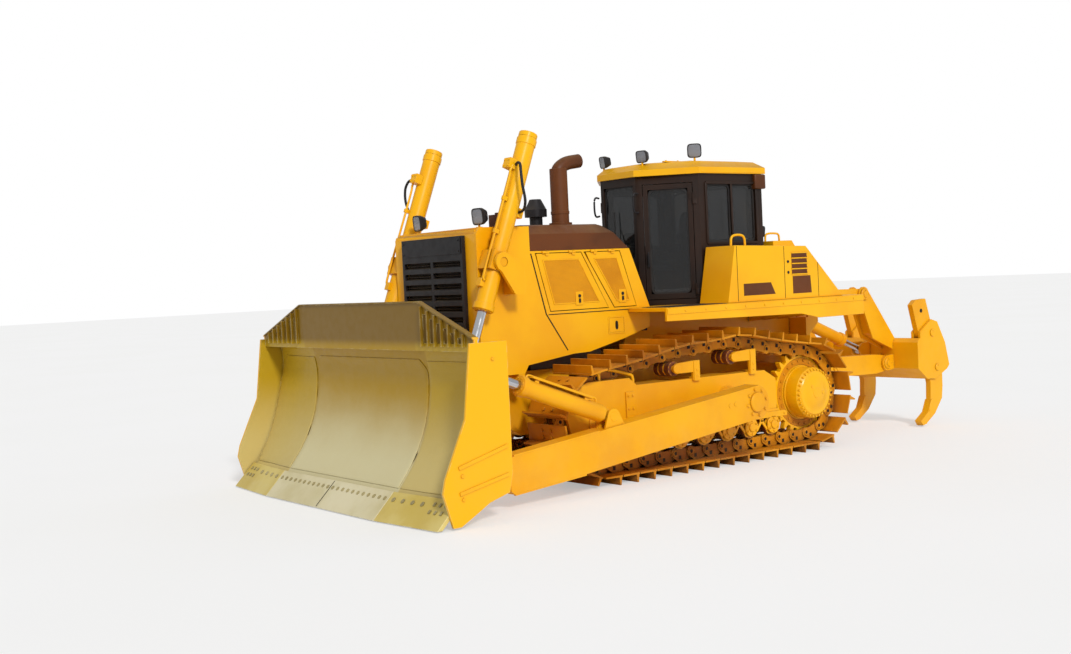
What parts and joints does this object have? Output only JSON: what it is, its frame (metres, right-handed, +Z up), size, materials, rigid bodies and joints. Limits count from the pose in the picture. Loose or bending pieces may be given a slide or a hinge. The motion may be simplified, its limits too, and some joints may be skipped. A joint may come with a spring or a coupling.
{
  "type": "bulldozer",
  "caption": "Crawler bulldozer with a wide curved blade on push arms, hydraulic cylinders, a windowed cab over two tracks and a rear ripper.",
  "frame": {"origin": "on the ground, midway along the whole machine's length, on its centre plane", "axes": "+Z up, -Y towards the blade, +X to the machine's left"},
  "size_m": [4.06, 8.515, 3.5639],
  "materials": {
    "yellow_paint": "semi-gloss yellow enamel, dusty",
    "brown_paint": "satin dark brown",
    "black_paint": "satin black",
    "worn_steel": "ground-polished plate",
    "chrome": "hard chrome",
    "cast_iron": "as cast",
    "upholstery": "woven seat cloth"
  },
  "bodies": {
    "tractor": {"air_intake": "black_paint", "battery_box_left": "yellow_paint", "bulkhead": "black_paint", "cab_frame": "black_paint", "cab_roof": "yellow_paint", "control_consoles": "black_paint", "engine": "cast_iron", "exhaust": "brown_paint", "fender_left": "yellow_paint", "fender_right": "yellow_paint", "final_drive_left": "yellow_paint", "final_drive_right": "yellow_paint", "fuel_tank": "yellow_paint", "grille": "black_paint", "hood_top": "brown_paint", "hydraulic_tank_right": "yellow_paint", "idler_left": "yellow_paint", "idler_right": "yellow_paint", "main_frame": "yellow_paint", "operator_seat": "upholstery", "radiator_guard": "yellow_paint", "ripper_bracket": "yellow_paint", "side_panel_left": "yellow_paint", "side_panel_right": "yellow_paint", "track_frame_left": "yellow_paint", "track_frame_right": "yellow_paint", "track_left": "yellow_paint", "track_right": "yellow_paint"},
    "cab_door_left": {"cab_door_left": "black_paint"},
    "cab_door_right": {"cab_door_right": "black_paint"},
    "engine_door_front_left": {"engine_door_front_left": "yellow_paint"},
    "engine_door_front_right": {"engine_door_front_right": "yellow_paint"},
    "engine_door_rear_left": {"engine_door_rear_left": "yellow_paint"},
    "engine_door_rear_right": {"engine_door_rear_right": "yellow_paint"},
    "push_arms": {"push_arm_left": "yellow_paint", "push_arm_right": "yellow_paint"},
    "blade": {"blade": "yellow_paint", "cutting_edge": "worn_steel", "end_bit_left": "worn_steel", "end_bit_right": "worn_steel"},
    "tilt_barrels": {"tilt_barrel_left": "yellow_paint", "tilt_barrel_right": "yellow_paint"},
    "tilt_rods": {"tilt_rod_left": "chrome", "tilt_rod_right": "chrome"},
    "lift_barrels": {"lift_barrel_left": "yellow_paint", "lift_barrel_right": "yellow_paint"},
    "lift_rods": {"lift_rod_left": "chrome", "lift_rod_right": "chrome"},
    "ripper_arms": {"ripper_arms": "yellow_paint"},
    "ripper_beam": {"ripper_beam": "yellow_paint", "ripper_shank_left": "yellow_paint", "ripper_shank_middle": "yellow_paint", "ripper_shank_right": "yellow_paint"},
    "ripper_links": {"ripper_link_left": "yellow_paint", "ripper_link_right": "yellow_paint"},
    "ripper_barrels": {"ripper_barrel_left": "yellow_paint", "ripper_barrel_right": "yellow_paint"},
    "ripper_rods": {"ripper_rod_left": "chrome", "ripper_rod_right": "chrome"}
  },
  "joints": [
    {"name": "blade_lift", "type": "hinge", "parent": "tractor", "child": "push_arms", "pos_m": [0, 0.1175, 0.68], "axis": [-1, 0, 0], "range_deg": [-7.7, 15.6]},
    {"name": "blade_pitch", "type": "hinge", "parent": "push_arms", "child": "blade", "pos_m": [0, -3.3825, 0.315], "axis": [-1, 0, 0], "range_deg": [-5, 5]},
    {"name": "tilt_barrel_swing", "type": "hinge", "parent": "push_arms", "child": "tilt_barrels", "pos_m": [0, -1.8425, 0.725], "axis": [-1, 0, 0], "range_deg": [-1.2, 1.2]},
    {"name": "tilt_rod_slide", "type": "slide", "parent": "tilt_barrels", "child": "tilt_rods", "axis": [0, -0.9387, 0.3446], "range_m": [-0.0838, 0.0838]},
    {"name": "lift_barrel_swing", "type": "hinge", "parent": "tractor", "child": "lift_barrels", "pos_m": [0, -2.6225, 2.27], "axis": [-1, 0, 0], "range_deg": [-6.04, 11.73]},
    {"name": "lift_rod_slide", "type": "slide", "parent": "lift_barrels", "child": "lift_rods", "axis": [0, -0.357, -0.9341], "range_m": [-0.8617, 0.4273]},
    {"name": "ripper_lift", "type": "hinge", "parent": "tractor", "child": "ripper_arms", "pos_m": [0, 2.5175, 0.835], "axis": [1, 0, 0], "range_deg": [-38, 35]},
    {"name": "ripper_beam_level", "type": "hinge", "parent": "ripper_arms", "child": "ripper_beam", "pos_m": [0, 3.4975, 0.815], "axis": [1, 0, 0], "range_deg": [-35.5, 38.5]},
    {"name": "ripper_link_swing", "type": "hinge", "parent": "tractor", "child": "ripper_links", "pos_m": [0, 2.1075, 1.725], "axis": [1, 0, 0], "range_deg": [-38.5, 35.5]},
    {"name": "ripper_barrel_swing", "type": "hinge", "parent": "tractor", "child": "ripper_barrels", "pos_m": [0, 2.4475, 1.4], "axis": [1, 0, 0], "range_deg": [-30.9, 28.5]},
    {"name": "ripper_rod_slide", "type": "slide", "parent": "ripper_barrels", "child": "ripper_rods", "axis": [0, 0.93, -0.3676], "range_m": [-0.2086, 0.2262]},
    {"name": "cab_door_left_hinge", "type": "hinge", "parent": "tractor", "child": "cab_door_left", "pos_m": [0.7795, 0.158, 2.4], "axis": [0, 0, 1], "range_deg": [0, 95]},
    {"name": "cab_door_right_hinge", "type": "hinge", "parent": "tractor", "child": "cab_door_right", "pos_m": [-0.7795, 0.158, 2.4], "axis": [0, 0, -1], "range_deg": [0, 95]},
    {"name": "engine_door_front_left_hinge", "type": "hinge", "parent": "tractor", "child": "engine_door_front_left", "pos_m": [0.762, -1.5825, 2.35], "axis": [0, -1, 0], "range_deg": [0, 70]},
    {"name": "engine_door_front_right_hinge", "type": "hinge", "parent": "tractor", "child": "engine_door_front_right", "pos_m": [-0.762, -1.5825, 2.35], "axis": [0, 1, 0], "range_deg": [0, 70]},
    {"name": "engine_door_rear_left_hinge", "type": "hinge", "parent": "tractor", "child": "engine_door_rear_left", "pos_m": [0.762, -1.0825, 2.35], "axis": [0, -1, 0], "range_deg": [0, 70]},
    {"name": "engine_door_rear_right_hinge", "type": "hinge", "parent": "tractor", "child": "engine_door_rear_right", "pos_m": [-0.762, -1.0825, 2.35], "axis": [0, 1, 0], "range_deg": [0, 70]}
  ],
  "couplings": [
    {"joint": "tilt_barrel_swing", "follows": "blade_pitch", "ratio": 0.14},
    {"joint": "tilt_rod_slide", "follows": "blade_pitch", "m_per_rad": -0.915},
    {"joint": "lift_barrel_swing", "follows": "blade_lift", "ratio": 0.72},
    {"joint": "lift_rod_slide", "follows": "blade_lift", "m_per_rad": -3.15},
    {"joint": "ripper_beam_level", "follows": "ripper_lift", "ratio": -1},
    {"joint": "ripper_link_swing", "follows": "ripper_lift", "ratio": 1},
    {"joint": "ripper_barrel_swing", "follows": "ripper_lift", "ratio": 0.8},
    {"joint": "ripper_rod_slide", "follows": "ripper_lift", "m_per_rad": -0.335}
  ]
}
